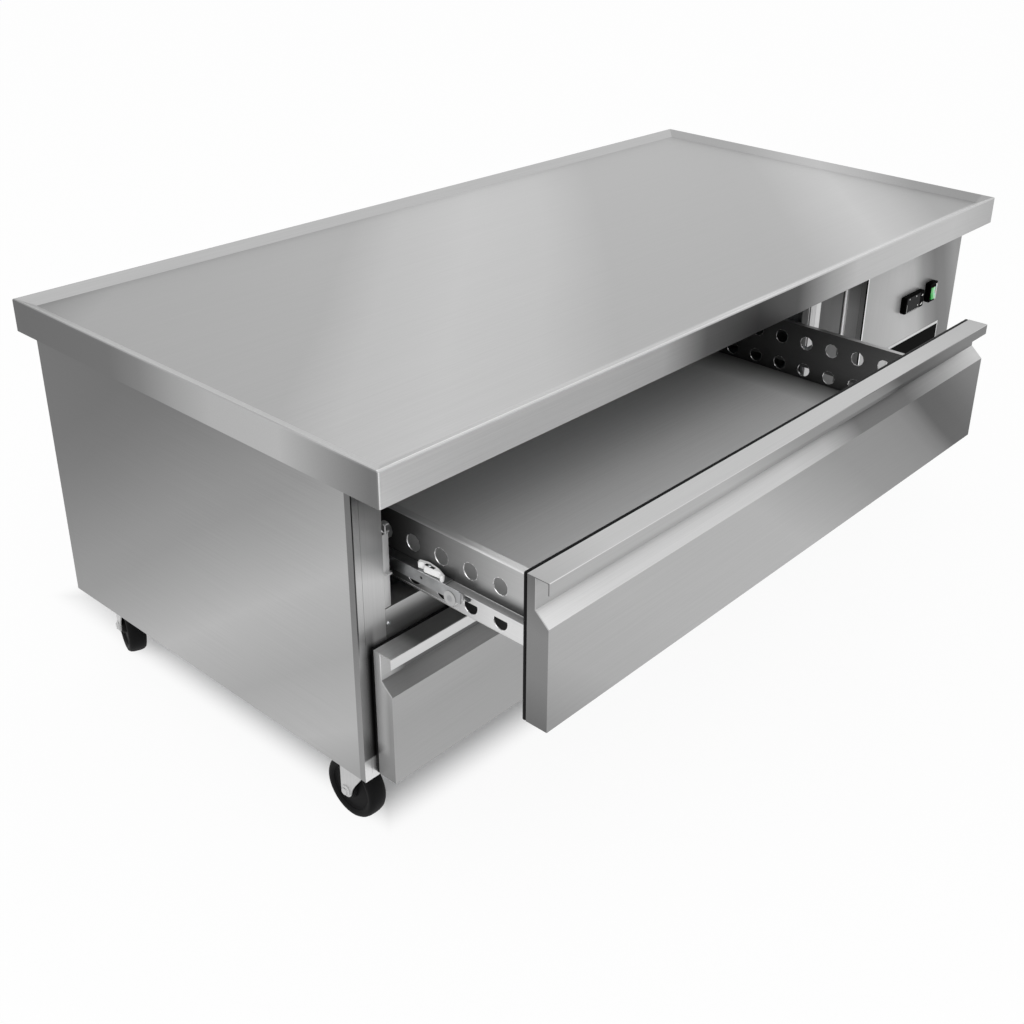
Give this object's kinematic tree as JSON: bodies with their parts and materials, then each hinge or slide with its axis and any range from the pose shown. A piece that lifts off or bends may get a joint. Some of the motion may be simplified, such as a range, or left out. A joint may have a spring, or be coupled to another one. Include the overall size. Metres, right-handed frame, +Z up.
{
  "type": "refrigerated chef base",
  "caption": "Low stainless refrigerated chef base on swivel casters, with telescopic-slide drawers, a raised-rim worktop and a side machine compartment.",
  "frame": {"origin": "centre of the bounding box in X and Y, on the floor under the wheels", "axes": "+X to the user's right along the front, +Y from the drawers towards the back, +Z up; the drawers open along -Y"},
  "size_m": [1.64, 1.0606, 0.628],
  "materials": {
    "satin_steel": "fine satin grain",
    "dark_steel": "satin, in shadow",
    "zinc": "zinc plated, dull",
    "liner": "matt rolled sheet over rigid foam",
    "rubber": "matt black",
    "nylon": "smooth moulded",
    "black_plastic": "fine texture",
    "green_lens": "gloss, translucent",
    "black_enamel": "gloss enamel",
    "grey_plastic": "matt moulded"
  },
  "bodies": {
    "cabinet": {"worktop": "satin_steel", "side_panel_left": "satin_steel", "side_panel_right": "satin_steel", "back_panel": "zinc", "base_plate": "zinc", "face_frame": "satin_steel", "mullion": "satin_steel", "insulated_liner": "liner", "recess_facing": "dark_steel", "control_panel": "satin_steel", "slide_bracket_left": "satin_steel", "slide_bracket_right": "satin_steel", "upper_left_cabinet_slide": "zinc", "upper_right_cabinet_slide": "zinc", "lower_left_cabinet_slide": "zinc", "lower_right_cabinet_slide": "zinc", "thermostat": "black_plastic", "switch_bezel": "black_plastic", "compressor": "black_enamel", "condenser": "black_enamel", "evaporator_cover": "liner", "cord_gland": "black_plastic", "front_left_caster_plate": "zinc", "front_right_caster_plate": "zinc", "back_left_caster_plate": "zinc", "back_right_caster_plate": "zinc"},
    "upper_drawer": {"upper_drawer_front": "satin_steel", "upper_drawer_gasket": "rubber", "upper_drawer_side_left": "satin_steel", "upper_drawer_side_right": "satin_steel", "upper_drawer_back": "satin_steel", "upper_drawer_floor": "satin_steel"},
    "lower_drawer": {"lower_drawer_front": "satin_steel", "lower_drawer_gasket": "rubber", "lower_drawer_side_left": "satin_steel", "lower_drawer_side_right": "satin_steel", "lower_drawer_back": "satin_steel", "lower_drawer_floor": "satin_steel"},
    "upper_slides": {"upper_left_middle_slide": "zinc", "upper_right_middle_slide": "zinc"},
    "upper_left_roller": {"upper_left_slide_roller": "nylon"},
    "upper_right_roller": {"upper_right_slide_roller": "nylon"},
    "lower_slides": {"lower_left_middle_slide": "zinc", "lower_right_middle_slide": "zinc"},
    "lower_left_roller": {"lower_left_slide_roller": "nylon"},
    "lower_right_roller": {"lower_right_slide_roller": "nylon"},
    "slide_lever": {"upper_left_slide_lever": "nylon"},
    "front_left_swivel": {"front_left_caster_fork": "zinc"},
    "front_left_wheel": {"front_left_caster_wheel": "rubber"},
    "front_right_swivel": {"front_right_caster_fork": "zinc"},
    "front_right_wheel": {"front_right_caster_wheel": "rubber"},
    "back_left_swivel": {"back_left_caster_fork": "zinc"},
    "back_left_wheel": {"back_left_caster_wheel": "rubber"},
    "back_right_swivel": {"back_right_caster_fork": "zinc"},
    "back_right_wheel": {"back_right_caster_wheel": "rubber"},
    "rocker": {"switch_rocker": "green_lens"},
    "key_upper": {"thermostat_key_upper": "grey_plastic"},
    "key_lower": {"thermostat_key_lower": "grey_plastic"},
    "condenser_fan": {"condenser_fan": "grey_plastic"},
    "evaporator_fan": {"evaporator_fan": "grey_plastic"}
  },
  "joints": [
    {"name": "upper_drawer_slide", "type": "slide", "parent": "cabinet", "child": "upper_drawer", "axis": [0, -1, 0], "range_m": [-0.2625, 0.2975]},
    {"name": "upper_slides_travel", "type": "slide", "parent": "cabinet", "child": "upper_slides", "axis": [0, -1, 0], "range_m": [-0.13125, 0.14875]},
    {"name": "upper_left_roller_turn", "type": "hinge", "parent": "upper_slides", "child": "upper_left_roller", "pos_m": [-0.7388, -0.3237, 0.439], "axis": [1, 0, 0], "continuous": true},
    {"name": "upper_right_roller_turn", "type": "hinge", "parent": "upper_slides", "child": "upper_right_roller", "pos_m": [0.2162, -0.3237, 0.439], "axis": [1, 0, 0], "continuous": true},
    {"name": "lower_drawer_slide", "type": "slide", "parent": "cabinet", "child": "lower_drawer", "axis": [0, -1, 0], "range_m": [0, 0.56]},
    {"name": "lower_slides_travel", "type": "slide", "parent": "cabinet", "child": "lower_slides", "axis": [0, -1, 0], "range_m": [0, 0.28]},
    {"name": "lower_left_roller_turn", "type": "hinge", "parent": "lower_slides", "child": "lower_left_roller", "pos_m": [-0.7388, -0.19245, 0.2128], "axis": [1, 0, 0], "continuous": true},
    {"name": "lower_right_roller_turn", "type": "hinge", "parent": "lower_slides", "child": "lower_right_roller", "pos_m": [0.2162, -0.19245, 0.2128], "axis": [1, 0, 0], "continuous": true},
    {"name": "slide_lever_turn", "type": "hinge", "parent": "upper_slides", "child": "slide_lever", "pos_m": [-0.74, -0.2817, 0.4548], "axis": [0, 0, 1], "range_deg": [-6, 12]},
    {"name": "front_left_caster_swivel", "type": "hinge", "parent": "cabinet", "child": "front_left_swivel", "pos_m": [-0.76, -0.17175, 0.04949], "axis": [0, 0, 1], "continuous": true},
    {"name": "front_left_wheel_roll", "type": "hinge", "parent": "front_left_swivel", "child": "front_left_wheel", "pos_m": [-0.76, -0.13875, 0.04949], "axis": [1, 0, 0], "continuous": true},
    {"name": "front_right_caster_swivel", "type": "hinge", "parent": "cabinet", "child": "front_right_swivel", "pos_m": [0.76, -0.17175, 0.04949], "axis": [0, 0, 1], "continuous": true},
    {"name": "front_right_wheel_roll", "type": "hinge", "parent": "front_right_swivel", "child": "front_right_wheel", "pos_m": [0.75427, -0.13925, 0.04949], "axis": [0.9848, 0.1736, 0], "continuous": true},
    {"name": "back_left_caster_swivel", "type": "hinge", "parent": "cabinet", "child": "back_left_swivel", "pos_m": [-0.76, 0.42025, 0.04949], "axis": [0, 0, 1], "continuous": true},
    {"name": "back_left_wheel_roll", "type": "hinge", "parent": "back_left_swivel", "child": "back_left_wheel", "pos_m": [-0.74871, 0.45126, 0.04949], "axis": [0.9397, -0.342, 0], "continuous": true},
    {"name": "back_right_caster_swivel", "type": "hinge", "parent": "cabinet", "child": "back_right_swivel", "pos_m": [0.76, 0.42025, 0.04949], "axis": [0, 0, 1], "continuous": true},
    {"name": "back_right_wheel_roll", "type": "hinge", "parent": "back_right_swivel", "child": "back_right_wheel", "pos_m": [0.76686, 0.45253, 0.04949], "axis": [0.9781, -0.2079, 0], "continuous": true},
    {"name": "switch_rocker_tilt", "type": "hinge", "parent": "cabinet", "child": "rocker", "pos_m": [0.69175, -0.23315, 0.44675], "axis": [1, 0, 0], "range_deg": [0, 12]},
    {"name": "thermostat_key_upper_press", "type": "slide", "parent": "cabinet", "child": "key_upper", "axis": [0, 1, 0], "range_m": [0, 0.0006], "stiffness_N_per_m": 400, "springref_m": -0.0008},
    {"name": "thermostat_key_lower_press", "type": "slide", "parent": "cabinet", "child": "key_lower", "axis": [0, 1, 0], "range_m": [0, 0.0006], "stiffness_N_per_m": 400, "springref_m": -0.0008},
    {"name": "condenser_fan_turn", "type": "hinge", "parent": "cabinet", "child": "condenser_fan", "pos_m": [0.62635, -0.12325, 0.2858], "axis": [0, 1, 0], "continuous": true},
    {"name": "evaporator_fan_turn", "type": "hinge", "parent": "cabinet", "child": "evaporator_fan", "pos_m": [0.2749, 0.07775, 0.35935], "axis": [1, 0, 0], "continuous": true}
  ],
  "couplings": [
    {"joint": "upper_slides_travel", "follows": "upper_drawer_slide", "ratio": 0.5},
    {"joint": "upper_left_roller_turn", "follows": "upper_drawer_slide", "rad_per_m": 47.619},
    {"joint": "upper_right_roller_turn", "follows": "upper_drawer_slide", "rad_per_m": 47.619},
    {"joint": "lower_slides_travel", "follows": "lower_drawer_slide", "ratio": 0.5},
    {"joint": "lower_left_roller_turn", "follows": "lower_drawer_slide", "rad_per_m": 47.619},
    {"joint": "lower_right_roller_turn", "follows": "lower_drawer_slide", "rad_per_m": 47.619}
  ]
}
